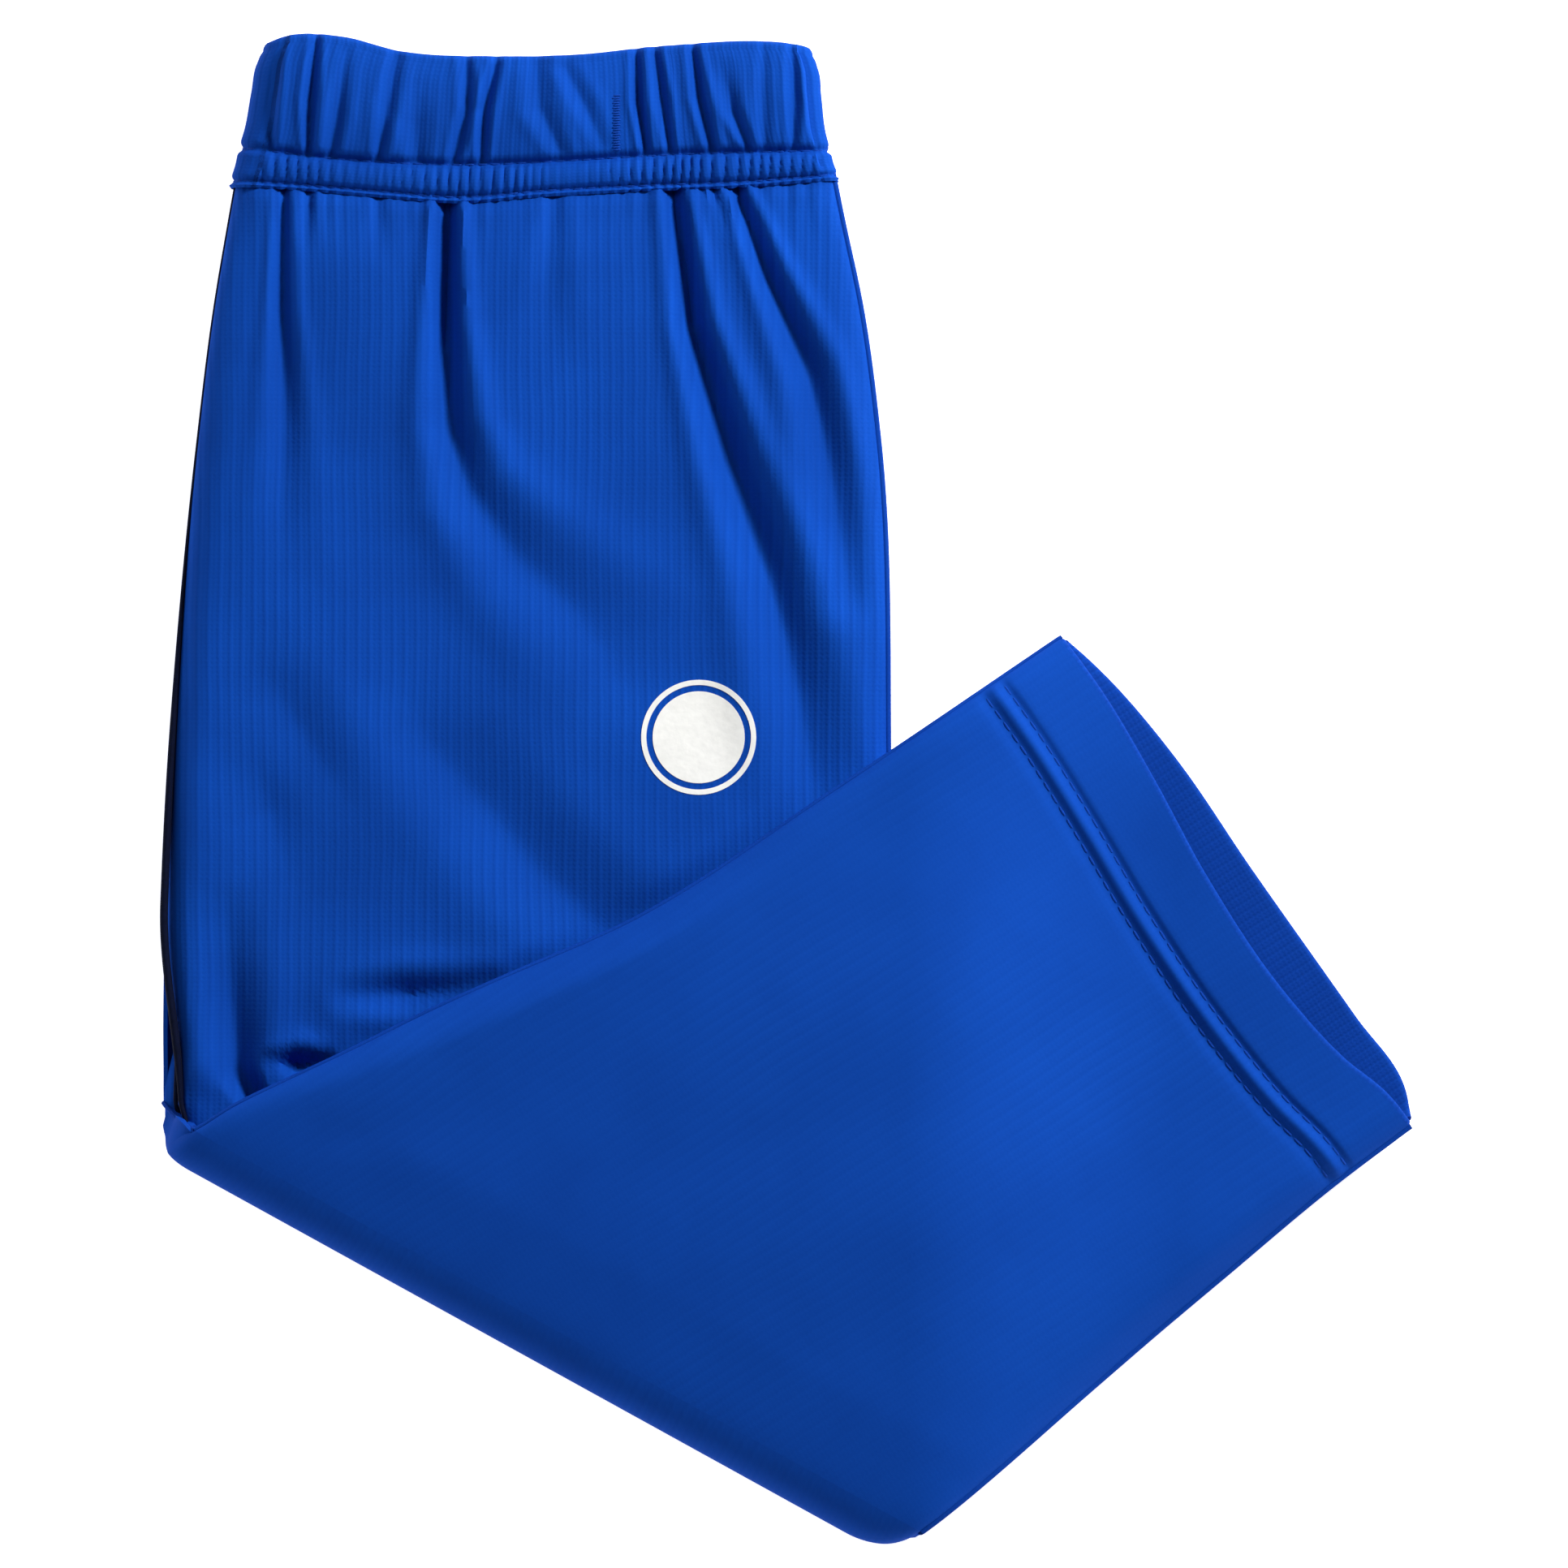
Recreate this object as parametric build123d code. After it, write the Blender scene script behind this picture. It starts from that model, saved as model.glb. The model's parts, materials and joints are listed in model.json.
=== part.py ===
from build123d import *
from math import radians, tan
import os

# Knit training trousers for a small child, folded for the shelf.  The left leg lies on
# the right leg, and both lower legs are turned over the thighs along a slanting fold.
# Millimetres.  The trousers are drawn open and straight first, as they are cut: X runs
# across the leg from its centre line, Y runs up to the waist, Z is the thickness.

# ---------------------------------------------------------------- driving dimensions
# outline of one leg, laid flat
waist_width = 112.0         # relaxed waistband, across one folded half
yoke_half = 59.0            # half width where the cloth leaves the waistband
hip_half = 65.5             # half width at the hip
hip_drop = 75.0             # from the top of the waist down to the hip
crotch_reach = 73.0         # centre line to the crotch point, which lies on the fold
thigh_reach = 67.5          # centre line to the outer seam at the thigh
thigh_drop = 150.0
fold_reach = 73.5           # centre line to the outer seam at the fold
knee_reach = 53.5           # centre line to the inner seam at the knee
knee_drop = 300.0
shin_reach = 54.0           # centre line to the inner seam above the hem
shin_drop = 345.0
hem_inner_reach = 55.5
hem_outer_reach = 59.0
inner_length = 396.0        # waist to hem along the inner seam
outer_length = 403.0        # waist to hem along the outer seam

# the fold across both legs
fold_drop = 242.5           # from the waist to the fold, on the centre line
fold_angle = 28.9           # slope of the fold, in degrees
fold_clearance = 0.3        # each side of the fold axis

# cloth and layers
cloth = 1.0                 # thickness of the knit
leg_air = 3.6               # between the front and the back of one leg
leg_gap = 0.4               # between the two legs
seam_width = 1.2            # a sewn edge, seen from above
seam_spacing = 0.3          # between the outer and the inner rise seam

# waistband
band_height = 31.0          # casing, from its top edge to its sewn edge
upper_stitch_drop = 22.0    # top edge to the upper row of stitches
lower_stitch_drop = 30.0
elastic_height = 29.0
elastic_thickness = 1.0
elastic_clearance = 0.05
thread_width = 0.8
thread_sink = 0.15          # threads lie this deep in the cloth
bartack_width = 1.2
bartack_height = 11.0
bartack_reach = 16.0        # centre line to the bar of stitches that pins the elastic
bartack_drop = 15.0

# hems
hem_depth = 17.0
hem_cloth = 0.8
hem_row_spacing = 4.0       # between the two rows of hem stitches

# the lower legs hang over the outer edge of the thighs and lie on the table
drape_start = 2.0           # past the widest part of the thigh
drape_run = 24.0

# small parts
mark_diameter = 22.0
mark_ring_width = 1.0
mark_ring_gap = 1.2
mark_thickness = 0.15
mark_reach = 31.0           # centre line to the middle of the print
mark_drop = 133.0
label_width = 15.0
label_height = 25.0
label_thickness = 0.3
label_drop = 70.0

# ---------------------------------------------------------------- derived sizes
tube_height = 2 * cloth + leg_air
stack_height = 2 * tube_height + leg_gap
axis_height = stack_height + fold_clearance
band_layer = (stack_height - 3 * leg_gap) / 4
far = 700.0                 # longer than the whole garment

# bottom and top of each layer of the stack, from the table up
right_tube = (0, tube_height)
left_tube = (tube_height + leg_gap, stack_height)


def front_and_back(tube, front_is_low):
    """Levels of the front and the back cloth of a leg."""
    low = (tube[0], tube[0] + cloth)
    high = (tube[1] - cloth, tube[1])
    return (low, high) if front_is_low else (high, low)


def turned_over(levels):
    """The same levels once the leg has been turned over the fold."""
    return (2 * axis_height - levels[1], 2 * axis_height - levels[0])


# ---------------------------------------------------------------- outline of a leg
def fold_crossing(reach):
    """Y of the fold axis at this distance from the centre line."""
    return -fold_drop - reach * tan(radians(fold_angle))


crotch_point = (-crotch_reach, fold_crossing(-crotch_reach))
inner_hem_point = (-hem_inner_reach, -inner_length)
outer_hem_point = (hem_outer_reach, -outer_length)

rise_points = [(-yoke_half, -band_height), (-hip_half, -hip_drop), crotch_point]
inseam_points = [crotch_point, (-knee_reach, -knee_drop), (-shin_reach, -shin_drop),
                 inner_hem_point]
outseam_points = [(yoke_half, -band_height), (hip_half, -hip_drop),
                  (thigh_reach, -thigh_drop), (fold_reach, fold_crossing(fold_reach)),
                  outer_hem_point]


def moved(points, shift):
    return [(x + shift, y) for x, y in points]


def edge(curves, shift):
    """A side of the leg, moved across by shift and run straight on past the hem."""
    end_x, end_y = moved(curves[-1], shift)[-1]
    lines = [Spline(*moved(points, shift)) for points in curves]
    return lines + [Line((end_x, end_y), (end_x, -far))]


inner_edge = [rise_points, inseam_points]
outer_edge = [outseam_points]


def half_plane(frame, offset, above):
    """Everything on one side of a line along the frame's X axis."""
    side = Align.MIN if above else Align.MAX
    return frame * Pos(0, offset, 0) * Rectangle(3 * far, 3 * far, align=(Align.CENTER, side))


def between(curves_a, shift_a, curves_b, shift_b):
    """The cloth from one side line to another, from the waistband down to the hem."""
    top_a, top_b = moved(curves_a[0], shift_a)[0], moved(curves_b[0], shift_b)[0]
    end_a, end_b = moved(curves_a[-1], shift_a)[-1][0], moved(curves_b[-1], shift_b)[-1][0]
    closing = [Line(top_a, top_b), Line((end_a, -far), (end_b, -far))]
    sheet = make_face(edge(curves_a, shift_a) + edge(curves_b, shift_b) + closing)
    return sheet & half_plane(hem_frame, 0, above=True)


hem_line = Vector(*outer_hem_point) - Vector(*inner_hem_point)
hem_frame = Plane(origin=inner_hem_point, x_dir=hem_line, z_dir=(0, 0, 1)).location
fold_frame = Pos(0, -fold_drop, 0) * Rot(0, 0, -fold_angle)
fold_normal = Vector(0, 1, 0).rotate(Axis.Z, -fold_angle)


def thigh_side(sheet):
    return sheet & half_plane(fold_frame, fold_clearance, above=True)


def shin_side(sheet):
    """The part below the fold, turned over so that it lies above the thighs."""
    below = sheet & half_plane(fold_frame, -fold_clearance, above=False)
    return mirror(below, about=Plane(origin=(0, -fold_drop, 0), z_dir=fold_normal))


def plate(sheet, levels):
    """A layer that lies flat in the stack of thighs."""
    return extrude(Pos(0, 0, levels[0]) * sheet, levels[1] - levels[0], dir=(0, 0, 1))


def draped(sheet, levels):
    """A layer of a lower leg: level over the thighs, then down to the table."""
    low, high = turned_over(levels)
    drape_from = max(thigh_reach, fold_reach) + drape_start
    profile = [(-far, low), (drape_from, low), (drape_from + drape_run, low - axis_height),
               (far, low - axis_height), (far, high - axis_height),
               (drape_from + drape_run, high - axis_height), (drape_from, high), (-far, high)]
    side_view = Plane.XZ * make_face(Polyline(*profile, close=True))
    layer = extrude(side_view, far, both=True)
    column = extrude(Pos(0, 0, -far / 2) * sheet, far, dir=(0, 0, 1))
    return layer & column


# ---------------------------------------------------------------- waistband
fold_centre = -waist_width / 2 + stack_height / 2
side_centre = waist_width / 2 - (2 * band_layer + leg_gap) / 2


def band_loop(offset):
    """The waistband seen from above the waist: a flattened ring folded in half.

    offset moves the line out of (+) or into (-) the middle of the band's thickness.
    """
    middle = stack_height / 2
    outer_radius = middle - band_layer / 2 + offset
    inner_radius = leg_gap / 2 + band_layer / 2 - offset
    side_radius = (band_layer + leg_gap) / 2 + offset
    lines = [
        Line((fold_centre, middle - outer_radius), (side_centre, middle - outer_radius)),
        Line((fold_centre, middle - inner_radius), (side_centre, middle - inner_radius)),
        Line((fold_centre, middle + inner_radius), (side_centre, middle + inner_radius)),
        Line((fold_centre, middle + outer_radius), (side_centre, middle + outer_radius)),
        ThreePointArc((fold_centre, middle - outer_radius), (fold_centre - outer_radius, middle),
                      (fold_centre, middle + outer_radius)),
        ThreePointArc((fold_centre, middle - inner_radius), (fold_centre - inner_radius, middle),
                      (fold_centre, middle + inner_radius)),
    ]
    for sign in (-1, 1):
        tip = middle + sign * (inner_radius + outer_radius) / 2
        lines.append(ThreePointArc((side_centre, middle + sign * inner_radius),
                                   (side_centre + side_radius, tip),
                                   (side_centre, middle + sign * outer_radius)))
    return make_face(lines)


def band_ring(outer, inner, top_drop, height):
    """A ring that follows the waistband, between two offsets, below the top edge."""
    face = band_loop(outer) - band_loop(inner)
    return Pos(0, -top_drop, 0) * extrude(Plane.XZ * face, height, dir=(0, -1, 0))


nodes = {}
half_layer = band_layer / 2
half_elastic = elastic_thickness / 2
groove = half_elastic + elastic_clearance

casing = band_ring(half_layer, -half_layer, 0, band_height)
casing -= band_ring(groove, -groove, band_height - elastic_height - elastic_clearance,
                    elastic_height + elastic_clearance)
nodes["waist_elastic"] = band_ring(half_elastic, -half_elastic,
                                   band_height - elastic_height, elastic_height)
for name, drop in (("waist_stitch_upper", upper_stitch_drop),
                   ("waist_stitch_lower", lower_stitch_drop)):
    row = band_ring(half_layer, half_layer - thread_sink, drop - thread_width / 2, thread_width)
    nodes[name] = row
    casing -= row

bartack = Pos(bartack_reach, -bartack_drop, stack_height) * Box(
    bartack_width, bartack_height, thread_sink, align=(Align.CENTER, Align.CENTER, Align.MAX))
nodes["waist_bartack"] = bartack
nodes["waist_casing"] = casing - bartack

# ---------------------------------------------------------------- legs
front_sheet = between(inner_edge, seam_width, outer_edge, -seam_width)
inner_rise_shift = seam_width + seam_spacing
back_sheet = between(inner_edge, inner_rise_shift + seam_width, outer_edge, -seam_width)
inner_strip = between(inner_edge, 0, inner_edge, seam_width)
inner_rise_strip = between(inner_edge, inner_rise_shift, inner_edge,
                           inner_rise_shift + seam_width)
outer_strip = between(outer_edge, -seam_width, outer_edge, 0)

hem_sheet = front_sheet - half_plane(hem_frame, hem_depth, above=True)
hem_mouth = (between(inner_edge, seam_width + hem_cloth, outer_edge, -seam_width - hem_cloth)
             - half_plane(hem_frame, hem_depth, above=True))


def hem_row(drop):
    """A row of thread across the leg, this far above the hem."""
    top = half_plane(hem_frame, drop - thread_width / 2, above=True)
    bottom = half_plane(hem_frame, drop + thread_width / 2, above=False)
    return front_sheet & top & bottom


hem_rows = [hem_row(hem_depth), hem_row(hem_depth - hem_row_spacing)]

for side, tube, front_is_low in (("right", right_tube, True), ("left", left_tube, False)):
    front, back = front_and_back(tube, front_is_low)
    nodes[f"{side}_front_thigh"] = plate(thigh_side(front_sheet), front)
    nodes[f"{side}_back_thigh"] = plate(thigh_side(back_sheet), back)
    nodes[f"{side}_outseam_thigh"] = plate(thigh_side(outer_strip), tube)
    nodes[f"{side}_outseam_shin"] = draped(shin_side(outer_strip), tube)
    nodes[f"{side}_inseam"] = draped(shin_side(inner_strip), tube)

    stitching = []
    for panel, levels in (("front", front), ("back", back)):
        shin = draped(shin_side(front_sheet), levels)
        outside_is_low = levels[0] == tube[0]
        skin = ((levels[0], levels[0] + thread_sink) if outside_is_low
                else (levels[1] - thread_sink, levels[1]))
        for row in hem_rows:
            thread = draped(shin_side(row), skin)
            stitching.append(thread)
            shin -= thread
        nodes[f"{side}_{panel}_shin"] = shin
    nodes[f"{side}_hem_stitching"] = Compound(stitching)

    inside = (tube[0] + cloth, tube[1] - cloth)
    mouth = (inside[0] + hem_cloth, inside[1] - hem_cloth)
    nodes[f"{side}_hem_facing"] = (draped(shin_side(hem_sheet), inside)
                                   - draped(shin_side(hem_mouth), mouth))

# the rise seams join the two legs between the waist and the crotch
nodes["front_rise_seam"] = plate(thigh_side(inner_strip), (0, stack_height))
nodes["back_rise_seam"] = plate(thigh_side(inner_rise_strip),
                                (tube_height - cloth, tube_height + leg_gap + cloth))

# ---------------------------------------------------------------- print and label
mark_radius = mark_diameter / 2
ring_inside = mark_radius - mark_ring_width
mark_face = (Circle(mark_radius) - Circle(ring_inside) + Circle(ring_inside - mark_ring_gap))
nodes["thigh_mark"] = plate(Pos(mark_reach, -mark_drop, 0) * mark_face,
                            (stack_height, stack_height + mark_thickness))

label_edge = yoke_half - seam_width
label_level = left_tube[0] + tube_height / 2
nodes["care_label"] = Pos(label_edge, -label_drop, label_level) * Box(
    label_width, label_height, label_thickness, align=(Align.MAX, Align.CENTER, Align.CENTER))

# ---------------------------------------------------------------- origin and files
# the origin is under the middle of the garment, on the table
box = Compound([node for node in nodes.values()]).bounding_box()
to_origin = Vector(-(box.min.X + box.max.X) / 2, -(box.min.Y + box.max.Y) / 2, 0)

os.makedirs("parts", exist_ok=True)
for name, node in nodes.items():
    export_step(Location(to_origin) * node, f"parts/{name}.step")

axis_point = Vector(0, -fold_drop, axis_height) + to_origin
axis_along = Vector(1, 0, 0).rotate(Axis.Z, -fold_angle)
rest_point = Vector(0, -thigh_drop, 0) + to_origin
print("box", box.size, "moved by", to_origin)
print("fold axis through", axis_point, "along", axis_along)
print("resting face at", rest_point, "print at", Vector(mark_reach, -mark_drop, 0) + to_origin)
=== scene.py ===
# %% [markdown]
# # Folded training trousers
# A small child's knit trousers, folded for the shelf: the left leg lies on the right leg,
# and both lower legs are turned over the thighs along a slanting fold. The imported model
# holds every piece as a plain plate. Here each piece becomes cloth with the same place
# and size. We load the frame first, because every later position is read from it.

# %% Load the frame
import json
import math

import bpy
import numpy as np
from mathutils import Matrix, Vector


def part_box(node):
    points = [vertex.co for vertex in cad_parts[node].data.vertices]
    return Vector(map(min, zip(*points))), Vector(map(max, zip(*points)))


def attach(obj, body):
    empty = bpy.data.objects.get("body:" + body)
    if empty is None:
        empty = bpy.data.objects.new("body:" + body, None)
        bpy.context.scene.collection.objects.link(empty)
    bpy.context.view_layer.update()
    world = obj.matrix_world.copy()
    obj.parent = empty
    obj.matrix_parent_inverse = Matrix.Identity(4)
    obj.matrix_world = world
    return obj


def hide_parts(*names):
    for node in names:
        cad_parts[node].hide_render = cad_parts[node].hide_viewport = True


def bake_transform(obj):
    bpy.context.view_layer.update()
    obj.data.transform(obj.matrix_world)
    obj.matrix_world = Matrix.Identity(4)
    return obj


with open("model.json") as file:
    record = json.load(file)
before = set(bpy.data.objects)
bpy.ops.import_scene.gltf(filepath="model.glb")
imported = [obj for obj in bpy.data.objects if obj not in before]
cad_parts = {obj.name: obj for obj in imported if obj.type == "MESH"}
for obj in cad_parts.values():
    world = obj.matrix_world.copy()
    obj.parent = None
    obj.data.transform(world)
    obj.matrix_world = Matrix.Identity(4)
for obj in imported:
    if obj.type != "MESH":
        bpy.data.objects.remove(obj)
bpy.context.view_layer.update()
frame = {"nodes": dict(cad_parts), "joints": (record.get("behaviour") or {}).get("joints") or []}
mm = 0.001

# %% [markdown]
# ## Where things are
# The hinge of the fold gives a point and a direction. The waistband's box gives the top of
# the garment and the centre line of the leg. The thigh plates give the height of each
# layer. From these, any point of the cloth can be placed.

# %% Places read from the frame
hinge = frame["joints"][0]
fold_point = np.array(hinge["pos_m"]) / mm
fold_along = np.array(hinge["axis"]) / np.linalg.norm(hinge["axis"])
fold_inward = np.array([-fold_along[1], fold_along[0], 0.0])
band_low, band_high = (np.array(corner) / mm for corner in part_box("waist_casing"))
centre_x = (band_low[0] + band_high[0]) / 2
waist_y = band_high[1]
axis_height = fold_point[2]
LAYERS = ("right_front", "right_back", "left_back", "left_front")
FACES_UP = {"right_front": False, "right_back": True, "left_back": False, "left_front": True}


def outer_level(layer):
    """Height of a layer's outer face in the stack of thighs, in millimetres."""
    low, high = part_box(layer + "_thigh")
    return (high[2] if FACES_UP[layer] else low[2]) / mm


level = {layer: outer_level(layer) for layer in LAYERS}
stack_top = level["left_front"]
middle = {"right": (level["right_front"] + level["right_back"]) / 2,
          "left": (level["left_back"] + level["left_front"]) / 2}
stack_middle = stack_top / 2
print("levels", level, "fold at", fold_point.round(2))

# %% [markdown]
# ## The outline of a leg
# The cloth is drawn open and straight, as it is cut, in millimetres: `x` across from the
# leg's centre line and `drop` down from the waist. A few points on each edge and a smooth
# curve through them are enough. Cubic pieces whose slopes come from the neighbouring
# points pass through every point without wobbling.


# %% Smooth curves through a few points
def smooth_curve(points):
    """A function through (position, value) points, with matching slopes."""
    place, value = np.array(points, float).T
    slope = np.gradient(value, place)

    def at(x):
        x = np.clip(x, place[0], place[-1])
        i = np.clip(np.searchsorted(place, x) - 1, 0, len(place) - 2)
        width = place[i + 1] - place[i]
        t = (x - place[i]) / width
        return ((1 + 2 * t) * (1 - t) ** 2 * value[i] + t * (1 - t) ** 2 * width * slope[i]
                + t * t * (3 - 2 * t) * value[i + 1] + t * t * (t - 1) * width * slope[i + 1])

    return at


def smoothstep(low, high, x):
    t = np.clip((x - low) / (high - low), 0, 1)
    return t * t * (3 - 2 * t)


def mix(a, b, t):
    return a + (b - a) * t


# %% Edges of the leg
crotch_drop = 202.2
crotch_reach = 73.0
inner_length, outer_length = 396.0, 403.0
hem_outer_reach = 58.8
rise_edge = smooth_curve([(22, -57.6), (31, -59.2), (50, -62.4), (75, -65.5), (130, -70.2),
                          (crotch_drop, -crotch_reach)])
inseam_edge = smooth_curve([(crotch_drop, -crotch_reach), (250, -60.8), (276, -56.8),
                            (300, -54.0), (345, -54.6), (inner_length, -56.2)])
outseam_edge = smooth_curve([(22, 56.2), (31, 58.0), (50, 62.0), (75, 65.3), (150, 67.5),
                             (283, 73.5), (325, 68.4), (356, 64.2), (386, 60.2),
                             (outer_length, hem_outer_reach)])
# the two rows of stitches on the waistband rise and fall a little, as the elastic pulls them
upper_row = smooth_curve([(-58, 18.6), (-40, 20.9), (-15, 22.2), (8, 21.3), (25, 20.3), (57, 19.4)])
lower_row = smooth_curve([(-59, 25.0), (-43, 26.2), (-29, 27.4), (-15, 28.4), (1, 27.2),
                          (20, 26.2), (40, 25.4), (58, 24.0)])


def inner_edge(drop):
    return np.where(drop < crotch_drop, rise_edge(drop), inseam_edge(drop))


def hem_drop(share):
    """Distance from waist to hem, at this share of the width from the inner seam."""
    return mix(inner_length, outer_length, share)


print("thigh width at the crotch", round(float(outseam_edge(crotch_drop)) + crotch_reach, 1))

# %% [markdown]
# ## From flat cloth to folded cloth
# A point of the leg above the fold keeps its place. A point below the fold is mirrored
# about the fold line and turned over, so the lowest layer becomes the highest. Close to
# the fold each layer follows a rounded profile whose size is its distance from the hinge
# axis, so the layers nest like the pages of a folded newspaper and never cross. Past the
# thighs, the lower legs sink until they lie on the table.

# %% Folding
bulge = 0.67          # how far the fold stands out, as a share of a layer's distance from the axis
shoulder = 1.0        # where the rounded top becomes level, as the same share
drape_from = 70.5
drape_run = 52.0
pressed = 2.6         # 2 is an ellipse; more is a flatter top with a tighter turn
inner_corner, outer_corner = 1.3, 12.0   # rounding of the two corners of the fold


def to_frame(x, drop, z):
    return np.stack([centre_x + x, waist_y - drop, z + 0 * x], -1)


def fold_distance(x, drop):
    """Distance from the fold line, positive on the thigh's side."""
    flat = to_frame(x, drop, 0 * x)
    return (flat - fold_point) @ fold_inward


def top_profile(share):
    """Height above the axis, as a share, of a layer that comes out of the fold."""
    inside = np.clip((shoulder - share) / (shoulder + bulge), 0, 1)
    return (1 - inside ** pressed) ** (1 / pressed)


def sag(points):
    """Lowers the turned-over cloth where no thigh is under it."""
    beyond = points[..., 0] - centre_x
    lowered = points.copy()
    lowered[..., 2] -= axis_height * smoothstep(drape_from, drape_from + drape_run, beyond)
    return lowered


def turned_over(x, drop, z):
    flat = to_frame(x, drop, 0 * x)
    away = fold_distance(x, drop)
    radius = np.maximum(axis_height - z, 0.05)
    folded = flat - 2 * away[..., None] * fold_inward
    folded[..., 2] = axis_height + radius * top_profile(np.maximum(-away, 0) / radius)
    return sag(folded)


print("fold stands out", round(bulge * axis_height, 1), "mm, drape starts at", drape_from)

# %% [markdown]
# ## Creases and gathers
# Knit cloth that hangs from a tight elastic falls in long creases. Each one is a line of a few points
# with a width and a depth at each, pressed into the surface as a valley with a soft lip on both sides.
# Listing them one by one puts the folds where the real ones lie, which a simulation would not do.


# %% Creases
def along_path(points, x, drop):
    """Distance from a crease's line, and width and depth at the nearest place on it."""
    best = np.full(x.shape, 1e9)
    width, depth = np.ones(x.shape), np.zeros(x.shape)
    for (x0, d0, w0, h0), (x1, d1, w1, h1) in zip(points, points[1:]):
        length2 = (x1 - x0) ** 2 + (d1 - d0) ** 2
        t = np.clip(((x - x0) * (x1 - x0) + (drop - d0) * (d1 - d0)) / length2, 0, 1)
        away = np.hypot(x - x0 - t * (x1 - x0), drop - d0 - t * (d1 - d0))
        nearer = away < best
        best = np.where(nearer, away, best)
        width = np.where(nearer, mix(w0, w1, t), width)
        depth = np.where(nearer, mix(h0, h1, t), depth)
    return best, width, depth


lip_height, lip_place, lip_spread = 0.35, 1.9, 0.9   # the soft lip on both sides of a valley
valley_power = 1.6                                   # 2 is a bell curve; less is sharper


def crease_relief(creases, x, drop):
    total = np.zeros(x.shape)
    for points in creases:
        away, width, depth = along_path(points, x, drop)
        r = away / width
        lip = lip_height * np.exp(-((r - lip_place) / lip_spread) ** 2)
        total += depth * (lip - np.exp(-r ** valley_power))
    return total


# each point of a crease: x, drop, half width, depth
thigh_creases = [
    [(-17.2, 26, 1.4, 3.8), (-17.5, 53, 2.2, 4.6), (-16.6, 72, 3.2, 3.8), (-13.0, 85, 4.2, 2.7),
     (-4.0, 97, 5.8, 2.3), (8.0, 108, 7.0, 1.8), (16.0, 119, 8.5, 1.0), (24.0, 132, 9.0, 0.0)],
    [(-48.5, 26, 1.0, 1.8), (-48.8, 50, 1.6, 2.2), (-48.2, 72, 2.6, 1.5), (-48.5, 100, 4.0, 0.3)],
    [(25.9, 25, 1.4, 3.0), (29.8, 53, 2.3, 4.4), (37.0, 78, 3.4, 4.4), (44.5, 100, 4.4, 3.8),
     (50.0, 123, 5.2, 3.0), (54.0, 145, 5.0, 0.8)],
    [(37.5, 25, 1.2, 2.2), (44.5, 44, 2.0, 3.2), (52.2, 62, 3.0, 3.0), (56.5, 82, 3.8, 2.2),
     (60.0, 104, 4.2, 0.8)],
    [(-43.9, 26, 0.9, 1.3), (-44.5, 40, 1.4, 0.0)],
    [(-26.0, 122, 7.0, 0.3), (-20.0, 134, 7.0, 1.4), (-8.0, 147, 7.0, 1.9), (1.0, 158, 7.0, 2.0),
     (12.0, 168, 7.0, 1.6), (24.0, 176, 8.0, 0.8)],
    [(-53.0, 118, 5.0, 0.2), (-46.0, 129, 5.0, 1.1), (-38.0, 141, 5.0, 0.8), (-33.0, 150, 6.0, 0.0)],
    [(-59.0, 160, 4.0, 0.0), (-58.6, 182, 4.2, 2.6), (-57.2, 196, 3.6, 4.0),
     (-54.2, 201.5, 2.8, 5.0), (-50.0, 204.5, 2.4, 4.0)],
    [(-50.5, 194.6, 1.6, 1.6), (-46.0, 195.0, 2.3, 5.0), (-41.5, 194.8, 2.0, 4.0),
     (-37.5, 193.0, 1.6, 0.5)],
    [(-36.0, 181.5, 2.4, 0.8), (-25.0, 181.5, 3.0, 3.2), (-10.0, 180.5, 2.8, 1.6)],
    [(-56.0, 128, 7.0, 0.4), (-51.0, 146, 8.0, 1.9), (-46.0, 162, 8.0, 0.5)],
    [(3.5, 26, 1.2, 1.0), (2.5, 44, 2.6, 0.7), (2.0, 62, 4.0, 0.0)],
    [(-30.5, 26, 1.0, 1.0), (-30.0, 42, 2.2, 0.0)],
    [(33.5, 25, 0.9, 1.2), (36.5, 34, 1.4, 0.2)],
]
shin_creases = [
    [(-52.0, 214, 3.0, 0.5), (-47.0, 232, 4.5, 0.7), (-40.0, 262, 6.0, 0.0)],
    [(-20.0, 262, 8.0, 0.0), (-4.0, 300, 10.0, 0.6), (4.0, 345, 9.0, 0.3), (8.0, 378, 8.0, 0.0)],
    [(34.0, 290, 6.0, 0.0), (38.0, 325, 8.0, 0.6), (36.0, 365, 7.0, 0.0)],
]


def waves(x, drop, parts):
    """A few long, low waves: (height, wavelength across, wavelength down, phase)."""
    return sum(height * np.sin(2 * np.pi * (x / across + drop / down) + phase)
               for height, across, down, phase in parts)


def small_gathers(x, drop):
    """Ripples that leave the stitched waist and die out down the cloth."""
    wander = 1.3 * np.sin(x / 5.3) + 0.9 * np.sin(x / 3.1 + 1.7)
    ripple = np.abs(np.sin(np.pi * (x + wander) / 3.4)) ** 0.8 - 0.6
    return ripple * gather_strength(x) * np.exp(-np.maximum(drop - lower_row(x), 0) / 7.0)


gather_strength = smooth_curve([(-60, 1.0), (-42, 0.9), (-34, 0.35), (-20, 0.8), (-4, 0.9),
                                (4, 0.35), (14, 0.45), (20, 1.0), (44, 1.0), (58, 0.7)])


# %% [markdown]
# ## The shape of each layer
# Across the leg, the front and the back run level and curve to meet at the seams, as in
# any tube that lies flat. Between waist and crotch the two legs are one piece of clothing,
# so on that side the outer layers curve further, to the middle of the whole stack. The
# creases belong on the one thigh layer that shows and on the shin layer that shows.

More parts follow.
